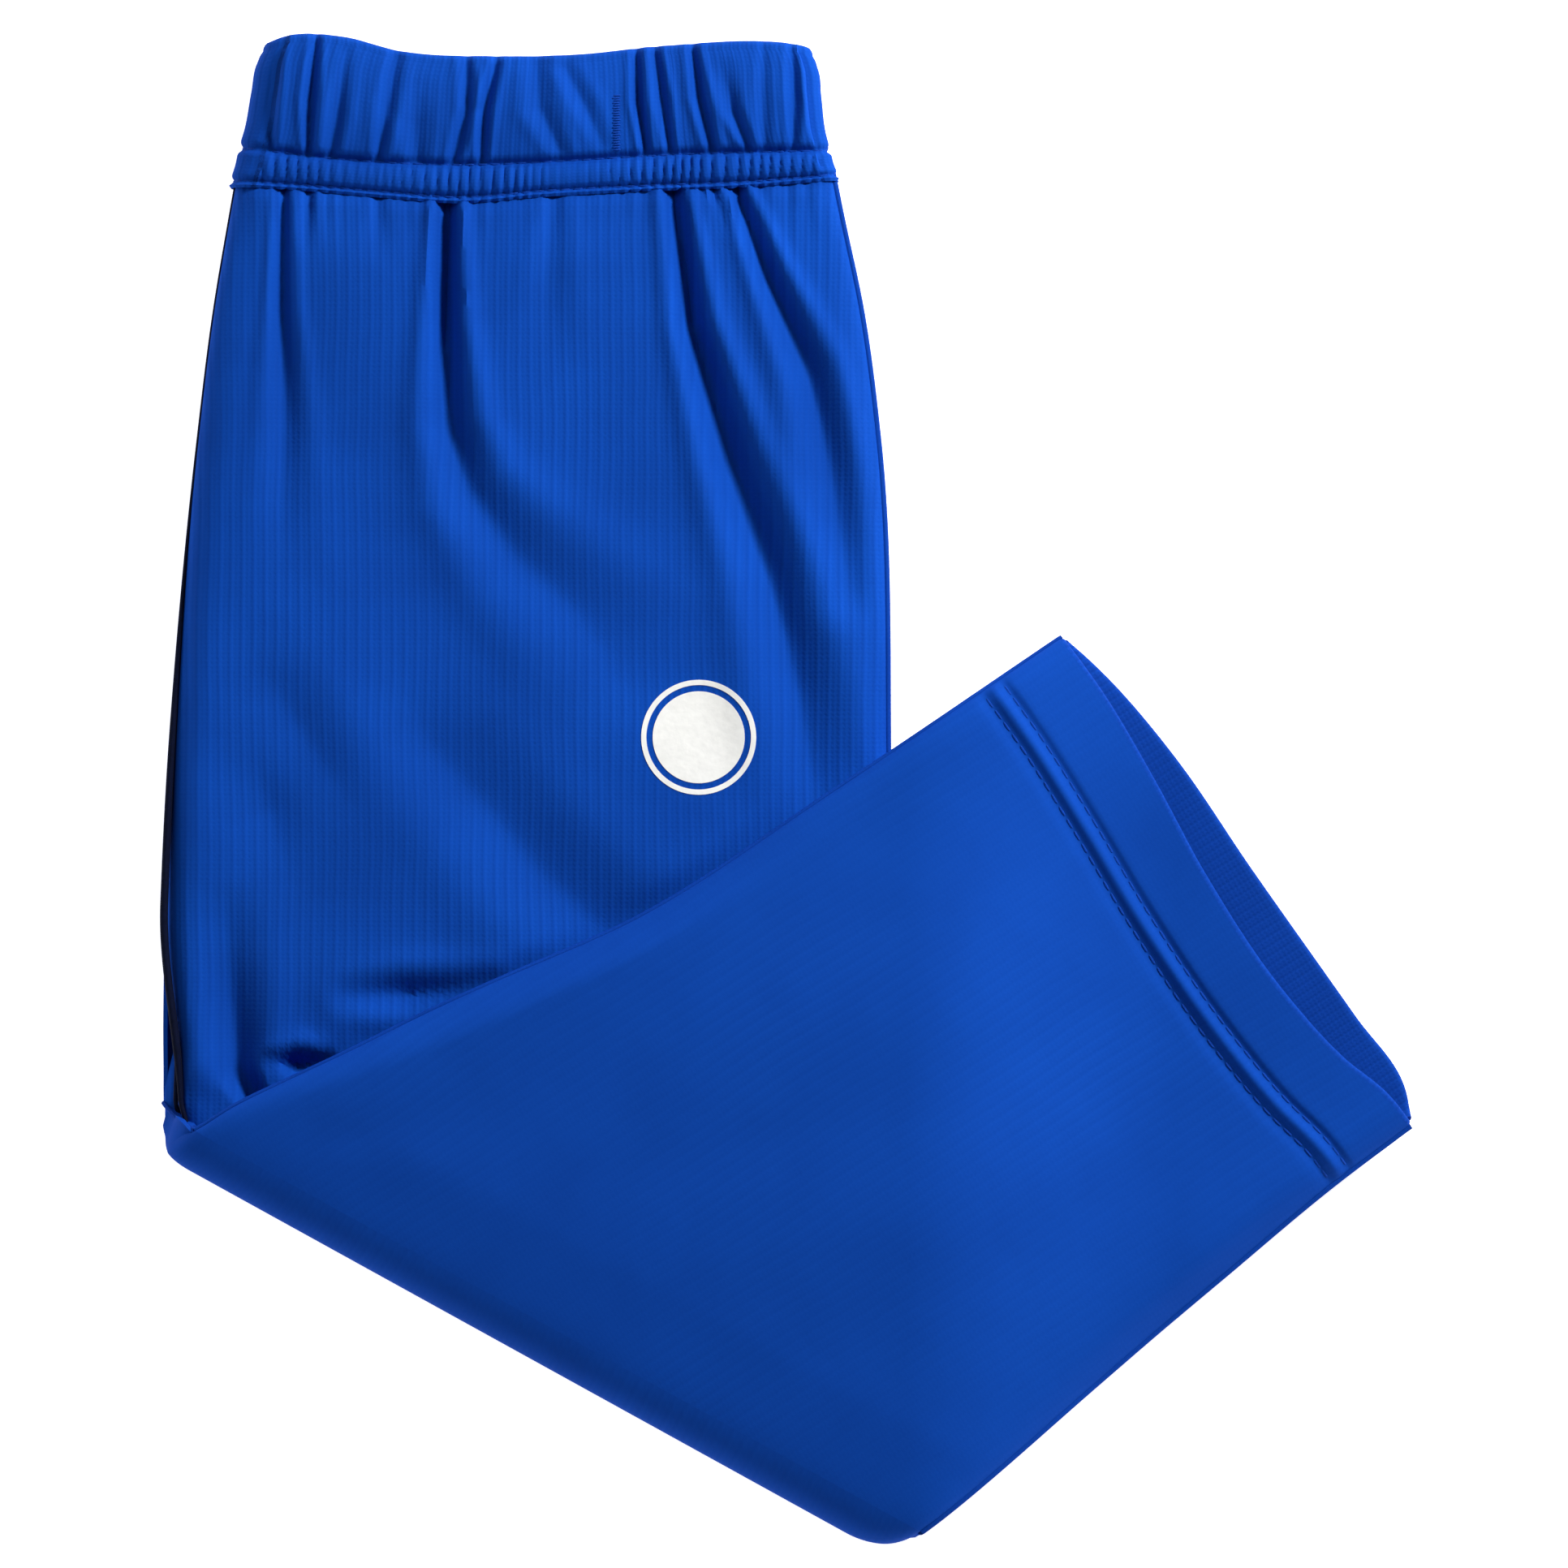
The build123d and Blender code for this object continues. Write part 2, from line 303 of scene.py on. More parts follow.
# %% Heights of the layers
side_radius = 5.0
rise_radius = 7.5
hem_zone = 24.0
crotch_run = 16.0        # the two legs part over this distance above the crotch
deepest_valley = -4.6    # below this a crease would reach the layer under it
hump_height, hump_place, hump_spread = 3.2, 66, 40   # the soft rise beyond the fold


def quarter_round(distance, radius):
    share = np.clip(1 - distance / radius, 0, 1)
    return np.sqrt(1 - share ** 2)


def under_shin(x, drop):
    """How far a point of the thigh lies under the turned-over leg, in millimetres."""
    flat = to_frame(x, drop, 0 * x)
    seen_open = flat - 2 * fold_distance(x, drop)[..., None] * fold_inward
    return seen_open[..., 0] - centre_x - inseam_edge(waist_y - seen_open[..., 1])


def above_crotch(drop):
    """1 where the two legs are one piece of clothing, 0 from the crotch down."""
    return 1 - smoothstep(crotch_drop - crotch_run, crotch_drop, drop)


def off_edges(x, drop, margin):
    """0 at both edges of the leg, 1 from this far inside them."""
    return smoothstep(0, margin, x - inner_edge(drop)) * smoothstep(0, margin, outseam_edge(drop) - x)


def mouth(share, drop, length):
    """1 at the middle of the hem's edge, 0 at its sides and well inside the leg."""
    return (1 - (2 * share - 1) ** 2) * smoothstep(length - hem_zone, length, drop)


def relief(layer, share, x, drop):
    """What the cloth's own folds add to a layer's height, outwards."""
    if layer == "left_front":
        shown = 1 - smoothstep(-5, 3, under_shin(x, drop))
        crown = 1.5 * np.sin(np.pi * np.clip(share, 0, 1)) ** 0.7
        near_edge = off_edges(x, drop, 6)
        swell = waves(x, drop, [(0.45, 95, 160, 0.6), (0.35, -60, 110, 2.2), (0.25, 41, -75, 4.0)])
        below_row = drop - lower_row(x)
        ease = smoothstep(0, 16, below_row)
        tucked_in = -1.9 * np.exp(-(np.maximum(below_row, 0) / 1.6) ** 2)
        body = crown * ease + swell * ease + 0.9 * small_gathers(x, drop) + tucked_in
        total = near_edge * (body + crease_relief(thigh_creases, x, drop))
        return np.where(total > 0, shown * total, np.maximum(total, deepest_valley))
    if layer == "right_front":
        under = 1 - smoothstep(crotch_drop, crotch_drop + 40, drop)
        swell = waves(x, drop, [(0.30, 120, 150, 0.4), (0.22, -70, 90, 1.1)])
        near_edge = off_edges(x, drop, 7)
        away = -fold_distance(x, drop)
        hump = hump_height * np.exp(-((away - hump_place) / hump_spread) ** 2)
        body = (0.9 * np.sin(np.pi * share) ** 0.7 + swell + hump
                + crease_relief(shin_creases, x, drop))
        return (1 - under) * near_edge * smoothstep(2, 18, away) * body
    return np.zeros(x.shape)


hem_bow = {
    "right_front": smooth_curve([(0, 0), (0.12, 0), (0.28, -1.7), (0.45, -4.3), (0.70, -5.3),
                                 (0.84, -3.4), (0.93, -0.6), (1, 0)]),
    "right_back": smooth_curve([(0, 0), (0.10, 2.4), (0.26, 4.2), (0.5, 3.7), (0.8, 3.4),
                                (0.94, 3.2), (1, 0.4)]),
    "left_back": smooth_curve([(0, 0), (0.5, 1.0), (1, 0)]),
    "left_front": smooth_curve([(0, 0), (0.5, -1.2), (1, 0)]),
}


def end_drop(layer, share):
    """Distance from waist to hem. The upper panel's hem bows in and the lower one's out."""
    return hem_drop(share) + hem_bow[layer](share)


hem_rows = (18.2, 14.0)   # distance of the two rows of stitches above the hem's edge
row_bow = 0.62            # how much of the edge's bow the rows follow


def hem_relief(layer, share, drop):
    """Sewn hem: a raised tunnel between two sunk rows of stitches, and a doubled edge."""
    up = hem_drop(share) + row_bow * hem_bow[layer](share) - drop
    upper = np.exp(-((up - hem_rows[0]) / 1.5) ** 2)
    lower = np.exp(-((up - hem_rows[1]) / 1.2) ** 2)
    tunnel = np.exp(-((up - sum(hem_rows) / 2) / 1.5) ** 2)
    doubled = 1 - smoothstep(hem_rows[1] - 1.6, hem_rows[1], up)
    return 0.85 * tunnel - 0.65 * upper - 0.4 * lower + 0.4 * doubled


def layer_height(layer, share, x, drop, turned=False):
    leg = layer.split("_")[0]
    outwards = 1 if FACES_UP[layer] else -1
    joined = above_crotch(drop)
    front = layer.endswith("front")
    seam_level = mix(middle[leg], stack_middle + (0 if front else 0.1 * outwards), joined)
    radius = mix(side_radius, rise_radius if front else side_radius, joined)
    rounded = quarter_round(x - inner_of(layer, drop, turned), radius)
    height = seam_level + (level[layer] - seam_level) * rounded
    other = quarter_round(outseam_edge(drop) - x, side_radius)
    height = middle[leg] + (height - middle[leg]) * other
    lifted = relief(layer, share, x, drop)
    if layer in ("right_front", "right_back"):
        lifted = lifted + hem_relief(layer, share, drop) * other * rounded * front
        lift = 1.8 if front else 0.3
        lifted = lifted + lift * mouth(share, drop, hem_drop(share)) * other * rounded
    return height + outwards * lifted


def inner_of(layer, drop, turned=False):
    """The inner edge of a layer. The back layers stop a little inside the rise, and near
    the crotch the left leg, and all cloth that is turned over, is drawn in."""
    tucked = 3.0 * above_crotch(drop)
    open_side = (4.0 if layer.startswith("left") else 0.5) * smoothstep(168, 205, drop)
    drawn = drawn_over(drop) if turned else open_side
    return inner_edge(drop) + (0 if layer.endswith("front") else 1) * tucked + drawn


drawn_over = smooth_curve([(200, 8.2), (208, 6.8), (215, 4.9), (225, 3.2), (235, 1.8), (250, 0),
                           (300, 0)])


def across_leg(layer, share, drop, turned=False):
    """Place across the leg at this share of a layer's width, in millimetres."""
    return mix(inner_of(layer, drop, turned), outseam_edge(drop), share)


def cloth_point(layer, share, drop, turned=False):
    """The place in the frame of a point of a layer, in millimetres."""
    x = across_leg(layer, share, drop, turned)
    z = layer_height(layer, share, x, drop, turned)
    return turned_over(x, drop, z) if turned else to_frame(x, drop, z)


# %% [markdown]
# ## Finishes
# A finish is worked out by nodes, which are easier to read as arithmetic. The `Wire` class
# wraps a socket so that `1 - mask` adds a Math node, and `Finish.node` adds any other
# node from its type, its settings and its inputs.


# %% Shader arithmetic
class Wire:
    """One socket of a material's nodes. Arithmetic on it adds Math nodes."""

    def __init__(self, finish, socket):
        self.finish = finish
        self.socket = socket

    def math(self, operation, *others):
        return self.finish.node("ShaderNodeMath", {"operation": operation},
                                dict(enumerate((self, *others))))

    def __add__(self, other):
        return self.math("ADD", other)

    def __sub__(self, other):
        return self.math("SUBTRACT", other)

    def __rsub__(self, other):
        return self * -1 + other

    def __mul__(self, other):
        return self.math("MULTIPLY", other)

    __radd__ = __add__
    __rmul__ = __mul__

    def sine(self):
        return self.math("SINE")


class Finish:
    """A named material with its nodes."""

    def __init__(self, name, **fixed):
        self.material = bpy.data.materials.new(name)
        self.material.use_nodes = True
        self.shader = self.material.node_tree.nodes["Principled BSDF"]
        self.surface(**fixed)

    def node(self, kind, settings=None, inputs=None, output=0):
        made = self.material.node_tree.nodes.new(kind)
        for key, value in (settings or {}).items():
            setattr(made, key, value)
        for key, value in (inputs or {}).items():
            self.feed(made.inputs[key], value)
        return Wire(self, made.outputs[output])

    def feed(self, socket, value):
        if isinstance(value, Wire):
            self.material.node_tree.links.new(value.socket, socket)
        else:
            socket.default_value = value

    def surface(self, **inputs):
        for key, value in inputs.items():
            self.feed(self.shader.inputs[key.replace("_", " ")], value)

    def noise(self, vector, scale, detail=2.0, roughness=0.5):
        return self.node("ShaderNodeTexNoise", {}, {"Vector": vector, "Scale": scale,
                                                    "Detail": detail, "Roughness": roughness})

    def tint(self, factor, one, two):
        return self.node("ShaderNodeMix", {"data_type": "RGBA"},
                         {"Factor": factor, 6: one, 7: two}, output=2)

    def bump(self, height, distance):
        return self.node("ShaderNodeBump", {}, {"Height": height, "Distance": distance,
                                                "Strength": 1.0})

    def wear(self, piece):
        piece.data.materials.clear()
        piece.data.materials.append(self.material)


def colour(red, green, blue):
    """Linear colour from the 0 to 255 values of a colour picker."""
    def linear(part):
        part /= 255
        return part / 12.92 if part <= 0.04045 else ((part + 0.055) / 1.055) ** 2.4
    return linear(red), linear(green), linear(blue), 1.0


# %% [markdown]
# ## Knit cloth
# The trousers are a smooth knit with fine ribs that run down the leg. The ribs are worked
# out from the UV map, which holds millimetres on the flat cloth, so they bend and turn over
# with the cloth. A height from the ribs, the stitches along them and a little fuzz goes to
# a bump, and the same height darkens the colour between the ribs.

# %% Knit finish
uv_scale = 100.0       # one UV unit is 100 mm of cloth
stitch_pitch = 0.9     # knitted stitches along a rib, in millimetres


def knit_finish(name, light, dark, rib_pitch=1.1, rib_share=1.0):
    knit = Finish(name, Sheen_Weight=0.12, Sheen_Roughness=0.5,
                  Sheen_Tint=colour(20, 90, 255), Specular_IOR_Level=0.04)
    place = knit.node("ShaderNodeUVMap", {"uv_map": "cloth"})
    across_cloth, down_cloth = (
        knit.node("ShaderNodeSeparateXYZ", {}, {"Vector": place}, output=axis) * uv_scale
        for axis in (0, 1))
    wander = knit.noise(place, 3.0, 1.0) * 2.0
    turns = 2 * math.pi
    ribs = ((across_cloth + wander) * (turns / rib_pitch)).sine() * 0.5 + 0.5
    pairs = ((across_cloth + wander) * (turns / (2 * rib_pitch))).sine() * 0.5 + 0.5
    stitches = (down_cloth * (turns / stitch_pitch) + ribs * 1.6).sine() * 0.5 + 0.5
    fuzz = knit.noise(place, 160.0, 3.0, 0.65)
    blotch = knit.noise(place, 4.5, 3.0, 0.6)
    height = ribs * 0.34 + pairs * 0.34 + stitches * 0.14 + fuzz * 0.38
    clear = (knit.noise(place, 2.2, 1.0) * 2.6 - 0.7).math("MAXIMUM", 0.08) * rib_share
    shade = (ribs * 0.14 + pairs * 0.26) * clear + blotch * 0.42 + fuzz * 0.16 + stitches * 0.05
    knit.surface(Base_Color=knit.tint(shade, dark, light),
                 Roughness=0.93 - ribs * 0.10 - fuzz * 0.08,
                 Normal=knit.bump(height, 0.10 * rib_share * mm))
    return knit


blue_knit = knit_finish("blue_knit", colour(14, 79, 186), colour(7, 54, 138))
# The lower legs and the fold strips wear a copy of the knit whose light colour is a little darker:
# painted shade for the lower light on them. Its ribs are also fainter.
lower_leg_shaded_knit = knit_finish("shaded_blue_knit_for_lower_legs", colour(14, 75, 178), colour(8, 56, 142), rib_share=0.35)
# A darker copy of the knit for the seam cords and the hem facings. On the facings its darker colour is
# painted shade inside the hem's open mouth.
seam_and_shaded_facing_knit = knit_finish("blue_knit_for_seams_and_shaded_facings", colour(12, 66, 165), colour(6, 46, 125), 0.8)


def plain_finish(name, light, dark, grain, **fixed):
    """A finish for a small part: two close colours and a fine grain."""
    made = Finish(name, **fixed)
    place = made.node("ShaderNodeTexCoord", {}, {}, output=3)
    grains = made.noise(place, grain, 2.0)
    made.surface(Base_Color=made.tint(grains, dark, light),
                 Normal=made.bump(grains, 0.05 * mm))
    return made


thread_finish = plain_finish("blue_thread", colour(12, 72, 176), colour(6, 48, 132), 2600.0,
                             Roughness=0.75, Specular_IOR_Level=0.1)
# Near-black finish of the centre seam cords: painted shadow of the narrow crevice between the legs along
# the left edge.
crevice_shadow_finish = plain_finish("centre_seam_painted_shadow", colour(8, 16, 46), colour(3, 6, 20), 1400.0,
                           Roughness=0.85, Specular_IOR_Level=0.08)
elastic_finish = plain_finish("white_elastic", colour(232, 232, 228), colour(200, 200, 196),
                              900.0, Roughness=0.8)
print_finish = plain_finish("print_film", colour(240, 240, 236), colour(226, 226, 222), 700.0,
                            Roughness=0.5)
satin_finish = plain_finish("label_satin", colour(240, 240, 240), colour(222, 222, 226), 1200.0,
                            Roughness=0.35, Sheen_Weight=0.1)

# %% [markdown]
# ## Sheets with thickness
# A grid of points becomes a closed sheet: the same grid again, one cloth's thickness
# further in, and a rim between the two. Each vertex also stores where it is on the flat
# cloth as a UV map, so the knit's ribs follow the cloth through every fold.

# %% Building a closed sheet
knit_thickness = 0.85
sharp_angle = 55      # edges that turn more than this, in degrees, stay sharp


def grid_normals(points, wrap):
    rows = np.gradient(points, axis=0)
    if wrap:
        columns = np.roll(points, -1, 1) - np.roll(points, 1, 1)
    else:
        columns = np.gradient(points, axis=1)
    normals = np.cross(columns, rows)
    return normals / np.maximum(np.linalg.norm(normals, axis=-1, keepdims=True), 1e-9)


def grid_faces(rows, columns, wrap, start=0):
    last = columns if wrap else columns - 1
    r, c = np.meshgrid(np.arange(rows - 1), np.arange(last), indexing="ij")
    a, b = r * columns + c, r * columns + (c + 1) % columns
    return start + np.stack([a, b, b + columns, a + columns], -1).reshape(-1, 4)


def rim_faces(rows, columns, wrap):
    """Quads that join the outer grid's border to the inner grid's border."""
    top = list(range(columns)) + ([0] if wrap else [])
    bottom = [(rows - 1) * columns + c for c in top][::-1]
    loops = [top, bottom]
    if not wrap:
        right = [r * columns + columns - 1 for r in range(rows)]
        left = [r * columns for r in range(rows)][::-1]
        loops = [top + right[1:] + bottom[1:] + left[1:]]
    shift = rows * columns
    return np.array([[b, a, a + shift, b + shift] for loop in loops
                     for a, b in zip(loop, loop[1:])])


def end_caps(rings, sides):
    """The two flat ends of a closed tube of rings."""
    return [list(range(sides))[::-1], [(rings - 1) * sides + i for i in range(sides)]]


def add_object(name, data):
    made = bpy.data.objects.new(name, data)
    bpy.context.scene.collection.objects.link(made)
    return made


def make_mesh(name, points, faces, uv=None):
    mesh = bpy.data.meshes.new(name)
    mesh.from_pydata((points * mm).tolist(), [], [list(map(int, face)) for face in faces])
    if uv is not None:
        layer = mesh.uv_layers.new(name="cloth")
        corner = np.zeros(len(mesh.loops), np.int32)
        mesh.loops.foreach_get("vertex_index", corner)
        layer.data.foreach_set("uv", (uv[corner] / uv_scale).astype(np.float32).ravel())
    mesh.polygons.foreach_set("use_smooth", [True] * len(mesh.polygons))
    mesh.set_sharp_from_angle(angle=math.radians(sharp_angle))
    mesh.validate()
    mesh.update()
    return add_object(name, mesh)


def closed_sheet(name, points, uv, outwards, thickness=knit_thickness, wrap=False):
    """outwards is a direction that the sheet's outer side faces, roughly."""
    rows, columns = points.shape[:2]
    normals = grid_normals(points, wrap)
    turned = np.sum(normals * np.asarray(outwards)) < 0
    normals = -normals if turned else normals
    inner = points - normals * thickness
    outer_faces = grid_faces(rows, columns, wrap)
    inner_faces = grid_faces(rows, columns, wrap, rows * columns)
    rim = rim_faces(rows, columns, wrap)
    faces = np.concatenate([outer_faces, inner_faces[:, ::-1], rim])
    if not turned:
        faces = faces[:, ::-1]
    both = np.concatenate([points.reshape(-1, 3), inner.reshape(-1, 3)])
    flat = np.concatenate([uv.reshape(-1, 2)] * 2)
    return make_mesh(name, both, faces, flat)


def run_along(points):
    """Distance along a line from its first point to each of its points."""
    return np.concatenate([[0], np.cumsum(np.linalg.norm(np.diff(points, axis=0), axis=1))])


def dress(piece, body, node, finish):
    """Sets what a piece rides on, hides the plate it stands for, and gives it its finish."""
    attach(piece, body)
    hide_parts(node)
    finish.wear(piece)


def bend_round_fold(piece, height, finish):
    """Bakes a piece's place into its mesh and gives it its finish."""
    radius = (axis_height - height) * mm
    axis_height * mm - radius
    axis_height * mm + radius * float(top_profile(0.0))
    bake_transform(piece)
    finish.wear(piece)


# %% [markdown]
# ## The panels of the legs
# Each front or back is one cut piece of cloth on the real trousers. It is built as three sheets that
# share their borders: the thigh rides on the upper body, the shin on the lower legs, and a narrow strip
# goes round the fold. Each sheet stays a plain grid.

# %% Grids for thigh, fold and shin
shown_layers = ("left_front", "right_front")
crowding = 0.62         # how much closer the columns stand near the seams
hair = 0.001            # a panel stops this far from the fold line, in millimetres
waist_from, waist_to = -59.0, 58.0   # the two ends of the seam under the waistband
tuck_under = 0.9        # how far the cloth reaches up past that seam
smallest_sheet = 0.01   # a strip smaller than this, in metres, is counted as too small


def across(layer):
    """Shares of the width, closer together near both seams."""
    count = 190 if layer in shown_layers else 70
    t = np.linspace(0, 1, count)
    return t - crowding * np.sin(2 * np.pi * t) / (2 * np.pi)


def cloth_uv(layer, share, drop, turned=False):
    """The place of a point on the flat cloth, in millimetres."""
    x = across_leg(layer, share, drop, turned)
    return np.stack([x, drop + 0 * x], -1)


def flat_size(uv):
    """Width, length and area of the flat cloth, in metres."""
    one = uv[1:, :-1] - uv[:-1, :-1]
    two = uv[:-1, 1:] - uv[:-1, :-1]
    area = np.abs(one[..., 0] * two[..., 1] - one[..., 1] * two[..., 0]).sum() * mm * mm
    width, length = np.ptp(uv[..., 0]) * mm, np.ptp(uv[..., 1]) * mm
    return float(width), float(length), float(min(area, width * length))


def fold_crossing_of(layer, share, turned=False):
    """Drop at which each column of a layer meets the fold line."""
    drop = np.full_like(share, 240.0)
    for _ in range(60):
        x = across_leg(layer, share, drop, turned)
        drop = drop + 0.8 * fold_distance(x, drop) / fold_inward[1]
    return drop


def fold_strip(layer, share):
    """The cloth that goes round the fold, from the thigh's border to the shin's."""
    from_drop = fold_crossing_of(layer, share)
    to_drop = fold_crossing_of(layer, share, True)
    border = cloth_point(layer, share, from_drop - hair)
    far_border = cloth_point(layer, share, to_drop + hair, True)
    radius = axis_height - border[:, 2]
    run = (border - fold_point) @ fold_along
    corner = (quarter_round(run - run.min(), inner_corner)
              * quarter_round(run.max() - run, outer_corner))
    power = 2 / pressed
    last_turn = math.acos((shoulder / (shoulder + bulge)) ** (1 / power))
    quarter, rest = np.linspace(0, np.pi / 2, 14), np.linspace(0, last_turn, 12)[1:]
    out = np.concatenate([-bulge * np.sin(quarter) ** power,
                          shoulder - (shoulder + bulge) * np.cos(rest) ** power])
    up = np.concatenate([-np.maximum(np.cos(quarter), 0) ** power, np.sin(rest) ** power])
    along_strip = np.linspace(0, 1, len(out))[:, None]
    shift = along_strip[..., None] * (far_border - border)
    points = border + shift
    points += (out[:, None] * radius * corner)[..., None] * fold_inward
    points[..., 2] = axis_height + up[:, None] * radius
    uv = cloth_uv(layer, share, from_drop) + np.zeros((len(out), 1, 2))
    uv[..., 1] += along_strip * radius
    return points, uv


def strip_size(points):
    """Length along the fold and length round it, in metres."""
    along = np.ptp((points[0] - fold_point) @ fold_along)
    round_fold = np.linalg.norm(np.diff(points, axis=0), axis=-1).sum(0).mean()
    return float(along * mm), float(round_fold * mm)


def build_panel(layer):
    share = across(layer)
    face = 1 if FACES_UP[layer] else -1
    thigh_rows = np.linspace(0, 1, 150 if layer == "left_front" else 60)[:, None]
    hem_share, fine = 0.84, 2 if layer == "right_front" else 1
    shin_rows = np.concatenate([np.linspace(0, hem_share, 46 * fine, endpoint=False),
                                np.linspace(hem_share, 1, 36 * fine)])[:, None]

    top = lower_row(mix(waist_from, waist_to, share)) - tuck_under
    thigh_drop = mix(top, fold_crossing_of(layer, share) - hair, thigh_rows)
    shin_drop = mix(fold_crossing_of(layer, share, True) + hair, end_drop(layer, share), shin_rows)
    made = []
    for part, drop, turned in (("_thigh", thigh_drop, False), ("_shin", shin_drop, True)):
        wide = np.broadcast_to(share, drop.shape)
        uv = cloth_uv(layer, wide, drop, turned)
        sheet = closed_sheet(layer + part + "_cloth", cloth_point(layer, wide, drop, turned), uv,
                             (0, 0, -face if turned else face))
        made.append((sheet, "lower_legs" if turned else "upper", layer + part, uv))

    points, uv = fold_strip(layer, share)
    outside = -1 if layer in ("right_front", "left_back") else 1
    strip = closed_sheet(layer + "_fold_cloth", points, uv, outside * fold_inward)
    return made, strip, points


for layer in LAYERS:
    made, strip, strip_points = build_panel(layer)
    strip_flat = strip_size(strip_points)
    too_small = min(strip_flat) < smallest_sheet
    # the lower legs wear the copy of the knit with painted shade
    for piece, body, node, uv in made:
        dress(piece, body, node, blue_knit if body == "upper" else lower_leg_shaded_knit)
        width, length, area = flat_size(uv)
        [strip] if too_small and body == "upper" else []
    bend_round_fold(strip, level[layer], lower_leg_shaded_knit)
    print(layer, "built")

# %% [markdown]
# ## Seams down the legs
# Front and back are sewn together at both sides of each leg. The seam is a slim cord of turned-in cloth
# that follows the edge. It is swept along the edge's own points, so it can't leave the panels. Where it
# goes round the fold it is a short piece of its own.


# %% Sweeping a cord along points
def sweep(name, path, radius, sides=8, tallness=1.0):
    """A cord along points, closed at both ends. tallness is its height over its width."""
    path = np.asarray(path, float)
    ahead = np.gradient(path, axis=0)
    ahead /= np.linalg.norm(ahead, axis=1, keepdims=True)
    up = np.array([0.0, 0.0, 1.0])
    aside = np.cross(ahead, up)
    steep = np.linalg.norm(aside, axis=1) < 0.2
    aside[steep] = np.cross(ahead[steep], -fold_inward)
    aside /= np.linalg.norm(aside, axis=1, keepdims=True)
    over = np.cross(aside, ahead) * tallness
    turn = np.linspace(0, 2 * np.pi, sides, endpoint=False)
    size = np.broadcast_to(radius, len(path)).copy()
    ring = (path[:, None] + size[:, None, None] * (np.cos(turn)[None, :, None] * aside[:, None]
                                                   + np.sin(turn)[None, :, None] * over[:, None]))
    faces = list(grid_faces(len(path), sides, True)) + end_caps(len(path), sides)
    run = run_along(path)
    uv = np.stack(np.broadcast_arrays(turn[None] * size[:, None], run[:, None]), -1)
    return make_mesh(name, ring.reshape(-1, 3), faces, uv.reshape(-1, 2))


def seam_path(leg, side, drops, turned):
    """The line where front and back of a leg meet, in the frame."""
    edge = inner_of(leg + "_front", drops, turned) if side == "inner" else outseam_edge(drops)
    height = np.full_like(drops, middle[leg])
    return turned_over(edge, drops, height) if turned else to_frame(edge, drops, height)


def seam_round_fold(start, end):
    """The short run of a side seam round the end of the fold."""
    t = np.linspace(0, 1, 7)[:, None]
    bow = -0.6 * np.sin(np.pi * t) * fold_inward
    return start + (end - start) * t + bow


seam_radius = {"outer": 0.75, "inner": 0.45}
for leg in ("right", "left"):
    for side, share_of_side in (("outer", 1.0), ("inner", 0.0)):
        edge_share = np.array([share_of_side])
        before = fold_crossing_of(leg + "_front", edge_share)[0]
        after = fold_crossing_of(leg + "_front", edge_share, True)[0]
        last = float(hem_drop(share_of_side)) + 0.5
        node = leg + ("_outseam" if side == "outer" else "_inseam")
        lower_path = seam_path(leg, side, np.linspace(after + 0.01, last, 90), True)
        first = float(lower_row(np.array(57.0)))
        upper_path = seam_path(leg, side, np.linspace(first, before - 0.01, 110), False)
        lower = sweep(node + "_shin_cord", lower_path, seam_radius[side], tallness=1.15)
        dress(lower, "lower_legs", node if side == "inner" else node + "_shin",
              seam_and_shaded_facing_knit)
        bend = sweep(node + "_fold_cord", seam_round_fold(upper_path[-1], lower_path[0]),
                     seam_radius[side])
        bend_round_fold(bend, middle[leg], seam_and_shaded_facing_knit)
        if side == "outer":
            upper = sweep(node + "_thigh_cord", upper_path, seam_radius[side], tallness=1.15)
            dress(upper, "upper", node + "_thigh", seam_and_shaded_facing_knit)
print("side seams done")

# %% [markdown]
# ## The centre seams, with painted shadow along the front one
# The centre seam of the front is drawn as a near-black cord, the one thin dark line on the garment:
# painted shadow of the narrow crevice between the two legs along the left edge. Near the crotch it leaves
# the edge and runs over the top leg, so the lower leg shows beside it. The centre seam of the back lies
# inside the stack and has a smaller cord. Both are swept cords, and the front one stands on edge, taller
# than it is wide.

# %% Rise seams
def rise_path(drops, inset, height):
    return to_frame(inner_edge(drops) + inset, drops, height)


rise_cord_drops = np.linspace(float(lower_row(np.array(-58.0))) + 0.5, crotch_drop + 4.2, 150)
drawn_in = 4.6 * smoothstep(164, 206, rise_cord_drops)
rise_height = mix(stack_middle, 11.2, smoothstep(60, 200, rise_cord_drops))
front_cord_radius = mix(0.5, 0.78, smoothstep(50, 170, rise_cord_drops))
front_cord_radius = mix(front_cord_radius, 0.45, smoothstep(190, 206, rise_cord_drops))
# The front cord sits on the real centre seam, and its near-black colour is painted shadow of the crevice
# along the left edge.
front_shadow_cord = sweep("front_rise_shadow_cord", rise_path(rise_cord_drops, 0.2 + drawn_in, rise_height),
                   front_cord_radius, sides=10, tallness=1.9)
back_seam_cord = sweep("back_rise_seam_cord", rise_path(rise_cord_drops, 3.3, stack_middle), 0.6)
for seam_cord, node in ((front_shadow_cord, "front_rise_seam"), (back_seam_cord, "back_rise_seam")):
    dress(seam_cord, "upper", node, crevice_shadow_finish)

# %% [markdown]
# ## Hems
# Each leg ends in a hem that is turned to the inside and held by two rows of stitches. The
# turned part is its own sheet: it starts on the inside of the panel, runs down to the edge
# and rolls round it, so the hem looks doubled and soft and hides the cut edge.

# %% Facing inside each hem
hem_depth = hem_rows[0] + 1.5
facing_thickness = 0.75
roll_radius = (knit_thickness + facing_thickness + 0.1) / 2
roll_length = 2.6     # cloth that goes round the edge of the hem


